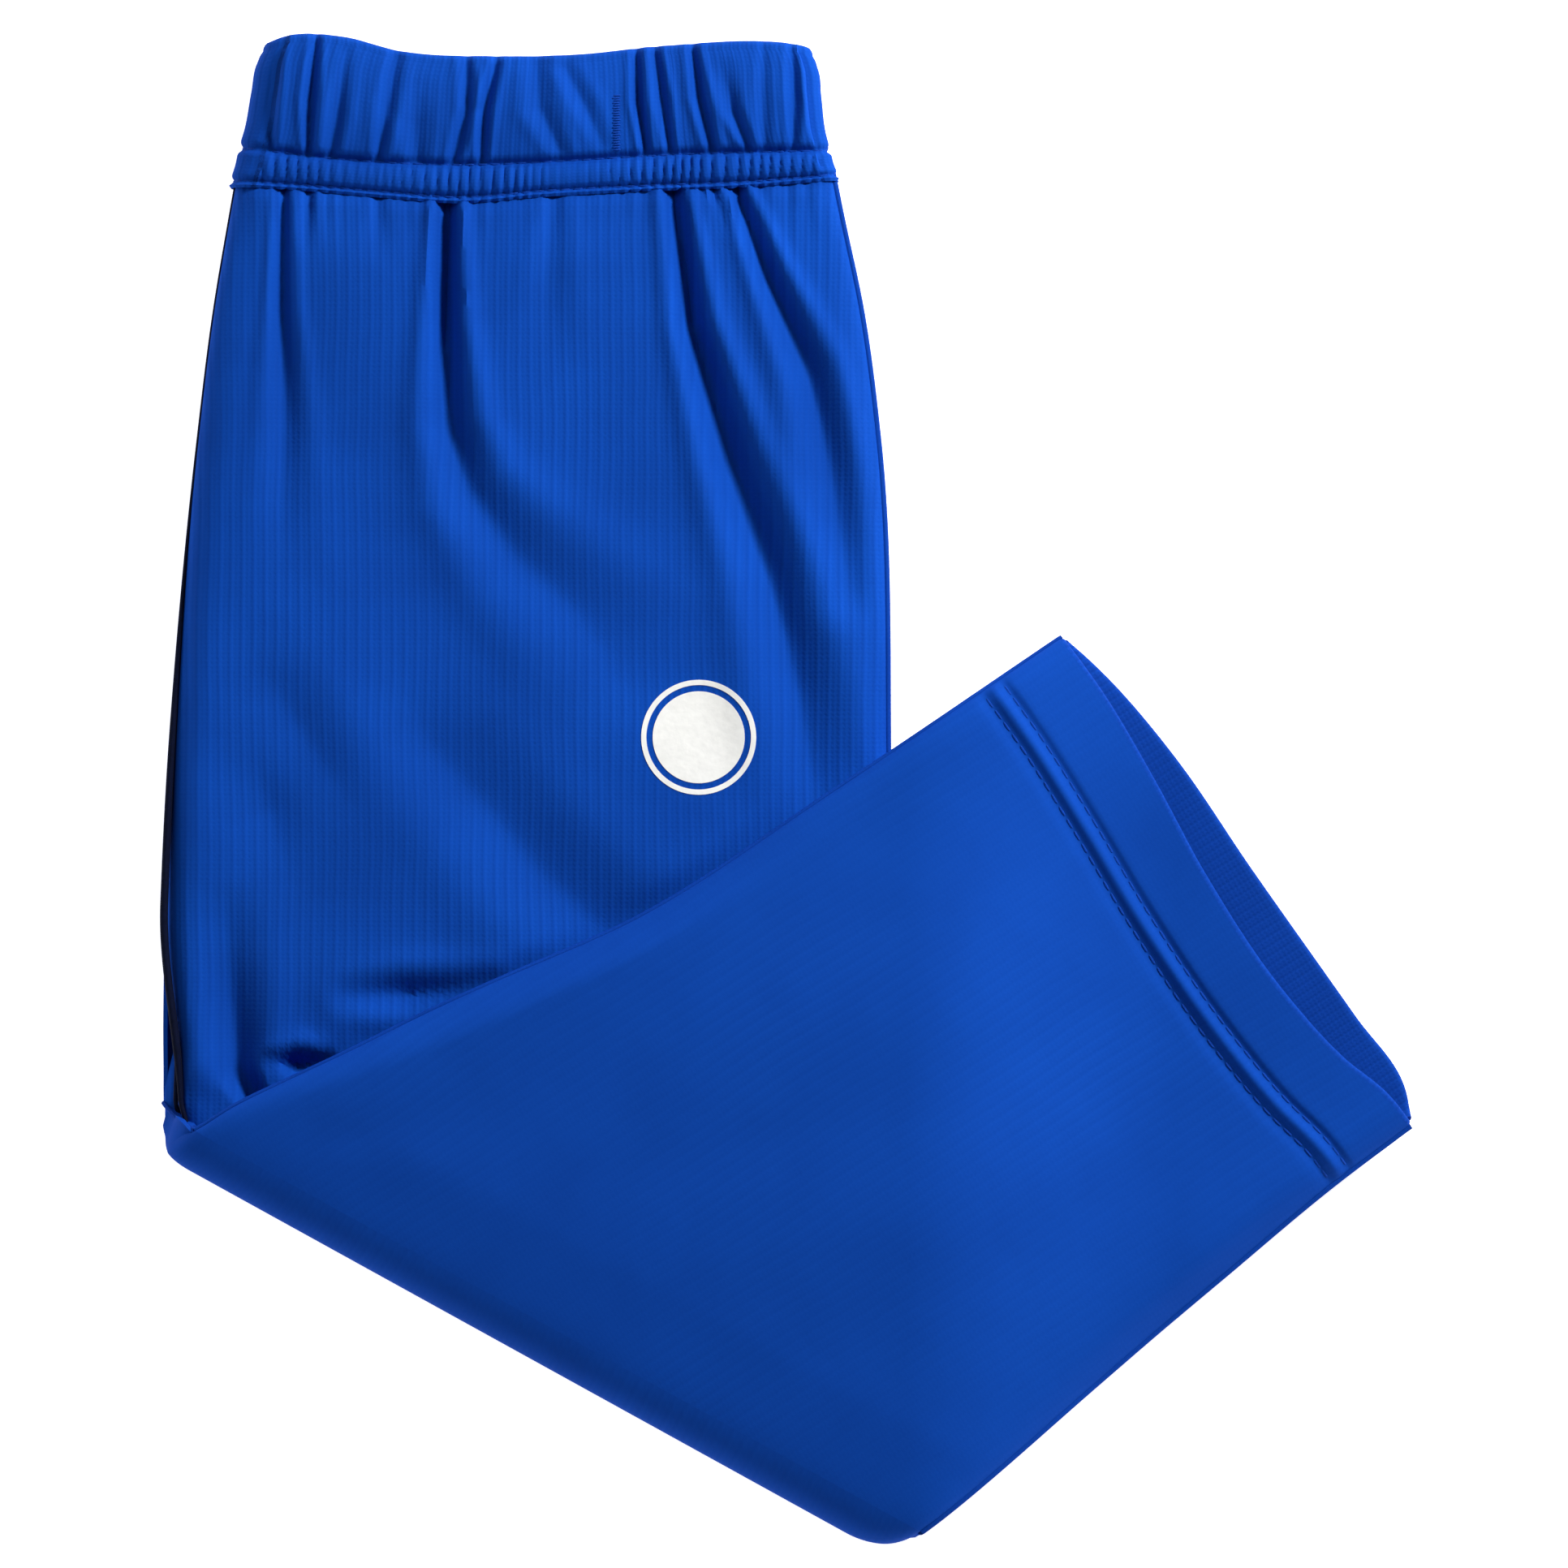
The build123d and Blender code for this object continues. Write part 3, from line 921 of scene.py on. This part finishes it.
def build_facing(layer):
    share = across(layer)[1:-1]
    end = end_drop(layer, share)
    outside_up = not FACES_UP[layer]
    drop = mix((end - hem_depth)[None], end[None], np.linspace(0, 1, 26)[:, None])
    wide = np.broadcast_to(share, drop.shape)
    points = cloth_point(layer, wide, drop, True)
    normals = grid_normals(points, False)
    if (normals[..., 2].sum() < 0) == outside_up:
        normals = -normals
    inside = points - normals * (2 * roll_radius)
    edge, normal = points[-1], normals[-1]
    tangent = points[-1] - points[-2]
    tangent /= np.linalg.norm(tangent, axis=1, keepdims=True)
    centre = edge - normal * roll_radius
    turn = np.linspace(-np.pi / 2, np.pi / 2, 8)[1:]
    roll = [centre + roll_radius * (np.cos(a) * tangent * 1.1 + np.sin(a) * normal) for a in turn]
    rows = np.concatenate([inside, np.array(roll)])
    down = np.concatenate([drop, np.repeat(drop[-1:], len(turn), 0) + 0.8 * turn[:, None]
                           + roll_length / 2])
    uv = cloth_uv(layer, share, down, True) * (1, -1)
    facing = closed_sheet(layer + "_hem_facing_cloth", rows, uv, (0, 0, -1 if outside_up else 1),
                          facing_thickness)
    # The facing wears the darker knit: painted shade inside the hem's mouth.
    dress(facing, "lower_legs", layer.split("_")[0] + "_hem_facing", seam_and_shaded_facing_knit)


for layer in LAYERS:
    build_facing(layer)
print("hems done")

# %% [markdown]
# ## Stitches
# A row of stitches is many short beads of thread, sunk a little into the cloth. One
# function walks along a line on the surface and lays a bead every stitch length. Hems get
# two rows on each panel, and the waistband gets two rows round the whole ring.


# %% Stitch beads
def at_distance(distance, run, values):
    """The vector at this distance along a line, between the line's own points."""
    return np.array([np.interp(distance, run, values[:, k]) for k in range(3)])


def stitch_beads(name, lines, length=2.1, gap=0.7, radius=0.24):
    """Beads of thread along lines of points; each line is (points, normals)."""
    sides = 6
    profile = np.array([(-0.5, 0.25), (-0.42, 0.8), (-0.2, 1.0), (0.2, 1.0), (0.42, 0.8), (0.5, 0.25)])
    turn = np.linspace(0, 2 * np.pi, sides, endpoint=False)
    points, faces, count = [], [], 0
    bead_faces = grid_faces(len(profile), sides, True)
    caps = end_caps(len(profile), sides)
    for line, normal in lines:
        run = run_along(line)
        for middle_run in np.arange(length, run[-1] - length * 0.6, length + gap):
            here = [at_distance(middle_run + d * length, run, line) for d in (-0.5, 0.5)]
            up = at_distance(middle_run, run, normal)
            ahead = here[1] - here[0]
            aside = np.cross(ahead, up)
            aside /= np.linalg.norm(aside)
            centre = (here[0] + here[1]) / 2
            for along, size in profile:
                ring = (centre + along * ahead + radius * size *
                        (np.cos(turn)[:, None] * aside + np.sin(turn)[:, None] * up))
                points.append(ring)
            faces += (bead_faces + count).tolist() + [[i + count for i in cap] for cap in caps]
            count += len(profile) * sides
    return make_mesh(name, np.concatenate(points), faces)


for leg in ("right", "left"):
    lines = []
    for side in ("front", "back"):
        for row in hem_rows:
            layer = leg + "_" + side
            share = across(layer)[3:-3]
            sewn = hem_drop(share) + row_bow * hem_bow[layer](share) - row
            line = cloth_point(layer, share, sewn, True)
            up = -1 if FACES_UP[layer] else 1
            lines.append((line, np.broadcast_to((0.0, 0.0, up), line.shape)))
    stitching = stitch_beads(leg + "_hem_stitches", lines)
    dress(stitching, "lower_legs", leg + "_hem_stitching", thread_finish)

# %% [markdown]
# ## Waistband
# The waistband is a ring of doubled cloth round an elastic. Folded with the legs it makes a C: closed at
# the centre seam, with a tight turn at each side. We draw that C as one closed line, repeat it from the
# sewn edge up over the top and down the inside, and press the pleats into it. The pleats are listed one
# by one on the side that shows; the hidden sides get a regular ripple.

# %% The ring seen from above
casing_thickness = 0.7
casing_wall = 2.3
nominal_upper, nominal_lower = 22.0, 30.0   # the rows of stitches, from the top edge
side_turn = (stack_top / 2 - 0.2) / 2


def ring_line(half_width, counts, wall=0.0):
    """Closed line (x, z, outward x, outward z, which side) at this distance inside the ring."""
    front, back, bend = counts
    fold_at, turn_at = -half_width + stack_middle, half_width - side_turn
    inner_fold = 0.2
    pieces = []

    def straight(x0, x1, z, out, count, side):
        x = np.linspace(x0, x1, count, endpoint=False)
        pieces.append(np.stack([x, x * 0 + z, x * 0, x * 0 + out, x * 0 + side], -1))

    def arc(x, z, radius, start, stop, count, hollow=False):
        a = np.linspace(start, stop, count, endpoint=False)
        sign = -1 if hollow else 1
        pieces.append(np.stack([x + radius * np.cos(a), z + radius * np.sin(a),
                                sign * np.cos(a), sign * np.sin(a), a * 0 + 4], -1))

    top, high, low = stack_top, stack_middle + inner_fold, stack_middle - inner_fold
    straight(fold_at, turn_at, top - wall, 1, front, 0)
    arc(turn_at, (top + high) / 2, side_turn - wall, np.pi / 2, -np.pi / 2, bend)
    straight(turn_at, fold_at, high + wall, -1, back, 1)
    arc(fold_at, stack_middle, inner_fold + wall, np.pi / 2, 3 * np.pi / 2, bend, hollow=True)
    straight(fold_at, turn_at, low - wall, 1, back, 2)
    arc(turn_at, low / 2, side_turn - wall, np.pi / 2, -np.pi / 2, bend)
    straight(turn_at, fold_at, wall, -1, back, 3)
    arc(fold_at, stack_middle, stack_middle - wall, 3 * np.pi / 2, np.pi / 2, 2 * bend)
    return np.concatenate(pieces)


band_half = smooth_curve([(0, 51.0), (1.2, 52.6), (4, 54.0), (10, 54.9), (18, 56.0), (22, 57.0),
                          (26, 57.6), (31, 58.9)])
band_shift = smooth_curve([(0, 0.0), (18, -0.6), (31, -0.8)])
top_edge = smooth_curve([(-52, -1.4), (-48, -2.6), (-37, -2.4), (-27, 0.3), (-8, 1.5), (8, 1.2),
                         (24, -0.5), (50, -0.7), (56, 0.6)])

casing_pleats = [
    [(-49.4, 0, 0.9, 0.9), (-50.0, 10, 1.0, 1.5), (-50.4, 21, 0.8, 1.3)],
    [(-42.2, 1, 0.8, 1.2), (-42.8, 12, 1.1, 1.9), (-43.0, 21, 0.8, 1.4)],
    [(-36.2, 3, 1.0, 0.3), (-37.6, 14, 1.3, 1.2), (-38.6, 21, 1.0, 1.1)],
    [(-26.8, 1, 1.2, 0.8), (-28.2, 12, 1.4, 1.3), (-29.6, 21, 0.9, 1.2)],
    [(-22.0, 8, 2.0, 0.2), (-22.6, 14, 2.4, 1.0), (-22.4, 21, 1.6, 0.9)],
    [(-13.5, 1, 1.0, 1.0), (-12.8, 11, 1.2, 1.4), (-15.2, 21, 0.9, 1.3)],
    [(-7.8, 2, 0.9, 1.2), (-9.6, 11, 1.1, 1.8), (-9.8, 21, 0.8, 1.2)],
    [(0.0, 2, 1.8, 0.8), (1.0, 11, 2.0, 1.1), (5.0, 20, 1.4, 0.7)],
    [(5.6, 3, 1.4, 0.5), (9.6, 11, 1.5, 0.8), (13.0, 19, 1.2, 0.3)],
    [(19.0, 1, 0.8, 1.2), (19.8, 11, 0.9, 1.9), (21.6, 21, 0.8, 1.5)],
    [(22.4, 0, 0.8, 1.1), (24.4, 11, 1.0, 1.6), (26.2, 21, 0.8, 1.3)],
    [(29.6, 0, 0.8, 1.3), (31.6, 11, 1.1, 1.9), (34.2, 21, 0.9, 1.5)],
    [(36.0, 6, 1.6, 0.3), (38.0, 14, 1.2, 1.3), (41.2, 21, 0.8, 1.2)],
    [(43.4, 1, 0.9, 0.4), (43.8, 12, 1.1, 0.6), (44.4, 21, 0.9, 0.5)],
    [(48.8, 1, 0.9, 0.9), (49.8, 12, 1.1, 1.3), (49.8, 21, 0.8, 0.8)],
]


def between_rows(nominal):
    """0 on the upper row of stitches, 1 on the lower row."""
    return (nominal - nominal_upper) / (nominal_lower - nominal_upper)


def band_place(x, nominal):
    """Distance from the waist of a place given on a band with straight edges."""
    top, one, two = top_edge(x), upper_row(x), lower_row(x)
    return np.where(nominal < nominal_upper, mix(top, one, nominal / nominal_upper),
                    mix(one, two, between_rows(nominal)))


def pinched(nominal):
    """1 on the rows of stitches, 0 away from them."""
    return (np.exp(-((nominal - nominal_upper) / 0.9) ** 2)
            + np.exp(-((nominal - nominal_lower) / 0.8) ** 2))


def band_relief(x, nominal, side):
    zone = smoothstep(nominal_upper - 1.5, nominal_upper + 1.5, nominal)
    wobble = 0.5 * np.sin(x / 4.3 + 0.4) + 0.35 * np.sin(x / 2.3)
    pucker = np.abs(np.sin(np.pi * (x + wobble) / 2.05)) ** 0.7 - 0.7
    puffed = np.sin(np.pi * np.clip(nominal / nominal_upper, 0, 1)) ** 0.6
    swell = 2.3 * puffed * (1 + 0.25 * np.sin(x / 6.1 + 1.0))
    lower = (0.7 * pucker * gather_strength(x)
             + 0.9 * np.sin(np.pi * np.clip(between_rows(nominal), 0, 1)))
    drawn = (1 - zone) * (swell + crease_relief(casing_pleats, x, nominal)) + zone * lower
    hidden = 0.28 * np.sin(2 * np.pi * x / 5.2 + 0.9 * np.sin(x / 9)) + 0.1 * pucker
    return np.where(side == 0, drawn, np.where(side == 3, 0.25 * hidden, hidden)) - 0.9 * pinched(nominal)


def band_surface(nominal_rows, wall, counts):
    """Points and outward directions of the ring at these nominal rows."""
    rows, outward = [], []
    for nominal in nominal_rows:
        ring = ring_line(float(band_half(nominal)), counts, wall)
        x, z, out_x, out_z, side = ring.T
        nearness = np.clip(1 - np.abs(x) / (band_half(nominal) - 1.0), 0, 1)
        fade = smoothstep(0.0, 0.05, nearness)
        push = band_relief(x, nominal + 0 * x, side) * np.where(side == 4, 0.0, fade)
        push -= 0.9 * pinched(nominal) * (side == 4)
        push = np.maximum(push, -0.8) * (wall == 0)
        x = x + push * out_x + band_shift(nominal)
        z = z + push * out_z
        rows.append(np.stack([centre_x + x, waist_y - band_place(x, nominal + 0 * x),
                              np.maximum(z, 0.05)], -1))
        outward.append(np.stack([out_x, 0 * out_x, out_z], -1))
    return np.array(rows), np.array(outward)


# %% The casing, over the top and down the inside
ring_counts = (300, 76, 9)
outside_rows = np.concatenate([np.linspace(nominal_lower + 1.0, 25, 14), np.linspace(24.4, 19.5, 14),
                               np.linspace(18.9, 1.6, 30)])
outside, out_direction = band_surface(outside_rows, 0.0, ring_counts)
inside_rows = np.concatenate([np.linspace(1.6, 6, 5), np.linspace(9, nominal_lower, 7)])
inside, _ = band_surface(inside_rows, casing_wall, ring_counts)
turn = np.linspace(0, np.pi, 9)[1:-1]
brink, lining = outside[-1], inside[0]
rise = np.array([0.0, 1.0, 0.0]) * 1.6
over_top = np.array([mix(brink, lining, (1 - np.cos(a)) / 2) + np.sin(a) * rise for a in turn])
casing_points = np.concatenate([outside, over_top, inside])
ring_run = run_along(outside[0])
row_run = np.concatenate([nominal_lower - outside_rows, nominal_lower + 0.4 * np.arange(1, 8),
                          nominal_lower + 3.2 + inside_rows])
casing_uv = np.stack(np.broadcast_arrays(ring_run[None], row_run[:, None]), -1)
direction = np.zeros_like(casing_points)
direction[:len(outside)] = out_direction
casing = closed_sheet("waistband_casing", casing_points, casing_uv, direction, casing_thickness,
                      wrap=True)
dress(casing, "upper", "waist_casing", blue_knit)
print("casing faces", len(casing.data.polygons))

# %% Elastic, rows of stitches and the bar of stitches
elastic_depth, elastic_length = 0.98, 430
elastic_rows = np.linspace(2.2, nominal_lower - 1.0, 14)
elastic_points, elastic_out = band_surface(elastic_rows, elastic_depth, (60, 60, 9))
elastic_uv = np.stack(np.broadcast_arrays(
    np.linspace(0, elastic_length, elastic_points.shape[1])[None], elastic_rows[:, None]), -1)
elastic = closed_sheet("waistband_elastic", elastic_points, elastic_uv, elastic_out, 0.5, wrap=True)
dress(elastic, "upper", "waist_elastic", elastic_finish)
for node, nominal in (("waist_stitch_upper", nominal_upper), ("waist_stitch_lower", nominal_lower)):
    line, normal = band_surface(np.array([nominal]), 0.0, ring_counts)
    whole = np.concatenate([line[0], line[0][:1]]), np.concatenate([normal[0], normal[0][:1]])
    stitches = stitch_beads(node + "es", [whole], length=1.9, gap=0.6, radius=0.22)
    dress(stitches, "upper", node, thread_finish)

# %% Bar of stitches that pins the elastic
bar_x, bar_nominal, bar_half_height = 16.0, 15.0, 5.5
bar_lines = []
for step in range(23):
    nominal = bar_nominal + bar_half_height * (step / 11 - 1)
    x = bar_x + np.array([-0.75, 0.75]) + 0.1 * (-1) ** step
    z = stack_top + np.maximum(band_relief(x, nominal + 0 * x, 0 * x), -0.8) + 0.05
    one_end, other_end = to_frame(x, band_place(x, nominal + 0 * x), z)
    bar_lines.append((mix(one_end, other_end, np.linspace(-0.9, 1.9, 5)[:, None]),
                      np.repeat([[0.0, 0.0, 1.0]], 5, 0)))
# the gap is longer than the line, so each line gets one bead
bar = stitch_beads("waist_bar_of_stitches", bar_lines, length=1.4, gap=9.0, radius=0.16)
dress(bar, "upper", "waist_bartack", thread_finish)

# %% [markdown]
# ## Print and label
# A soft off-white print sits on the thigh: a plain disc in a thin ring. Both are thin
# films that take the height of the cloth below them, point by point, so they follow its
# swell. The satin label inside the waist is hidden, and its plain plate keeps its shape.

# %% Print on the thigh
mark_x, mark_drop = 31.0, 132.0
film_thickness = 0.12


def on_thigh(x, drop):
    inner = inner_of("left_front", drop)
    return cloth_point("left_front", (x - inner) / (outseam_edge(drop) - inner), drop)


def printed_ring(name, inner_radius, outer_radius, rows):
    radius = np.linspace(inner_radius, outer_radius, rows)[:, None]
    turn = np.linspace(0, 2 * np.pi, 120, endpoint=False)[None]
    x, drop = mark_x + radius * np.cos(turn), mark_drop - radius * np.sin(turn)
    film = closed_sheet(name, on_thigh(x, drop) + (0, 0, film_thickness),
                        np.stack([x, drop], -1), (0, 0, 1), film_thickness + 0.05, wrap=True)
    dress(film, "upper", "thigh_mark", print_finish)


printed_ring("thigh_print_disc", 0.02, 8.8, 24)
printed_ring("thigh_print_ring", 10.0, 11.0, 5)
label = frame["nodes"]["care_label"]
for material_slot in label.material_slots:
    material_slot.material = satin_finish.material
print("label finished", label.name)

# %% [markdown]
# ## Floor and light
# The garment lies on a pale floor inside a low round wall, so a view from the side is pale
# as well. One small bright light stands low at the upper right, so that it grazes the cloth
# and draws the creases. Two large dim lights and a faint sky fill the shadows.

# %% Floor, backdrop, lights and sky
white = (1.0, 1.0, 1.0, 1.0)


def add_card(name, corners, faces, roughness, glow):
    """A pale surface that is not part of the object."""
    mesh = bpy.data.meshes.new(name)
    mesh.from_pydata(corners, [], faces)
    card = add_object(name, mesh)
    paper = Finish(name + "_paper", Roughness=roughness, Emission_Color=white,
                   Emission_Strength=glow)
    paper.surface(Base_Color=colour(240, 240, 242))
    paper.wear(card)


def add_light(name, place, size, power):
    lamp = bpy.data.lights.new(name, "AREA")
    lamp.shape = "DISK"
    lamp.size = size
    lamp.energy = power
    holder = add_object(name, lamp)
    holder.location = place
    away = np.array(place) - np.array((0.0, 0.0, 0.01))
    holder.rotation_euler = (math.atan2(math.hypot(away[0], away[1]), away[2]), 0,
                             math.atan2(away[1], away[0]) + math.pi / 2)


reach = 3.0
add_card("floor", [(-reach, -reach, 0), (reach, -reach, 0), (reach, reach, 0), (-reach, reach, 0)],
         [(0, 1, 2, 3)], 0.9, 0.85)
wall_sides, wall_radius, wall_height = 48, 2.9, 0.8
wall_turn = [2 * math.pi * i / wall_sides for i in range(wall_sides)]
wall_corners = [(wall_radius * math.cos(a), wall_radius * math.sin(a), z)
                for z in (0.0, wall_height) for a in wall_turn]
wall_faces = [(i, (i + 1) % wall_sides, wall_sides + (i + 1) % wall_sides, wall_sides + i)
              for i in range(wall_sides)]
add_card("backdrop", wall_corners, wall_faces, 1.0, 0.9)
add_light("key", (0.58, 0.50, 0.50), 0.22, 12.1)
add_light("fill", (-0.6, 0.6, 1.1), 1.0, 2.6)
add_light("low_fill", (-0.6, -0.9, 0.6), 0.9, 1.5)
world = bpy.data.worlds.new("studio")
bpy.context.scene.world = world
world.use_nodes = True
sky = world.node_tree.nodes["Background"]
sky.inputs["Color"].default_value = white
sky.inputs["Strength"].default_value = 0.10
bpy.context.scene.view_settings.view_transform = "Standard"
print("stage and lights added")

# %% Camera
camera_data = bpy.data.cameras.new("camera")
camera = add_object("camera", camera_data)
bpy.context.scene.camera = camera
camera.location = (0.0002, 0.0005, 1.215)
camera_data.sensor_width = 36.0
camera_data.lens = 144.2
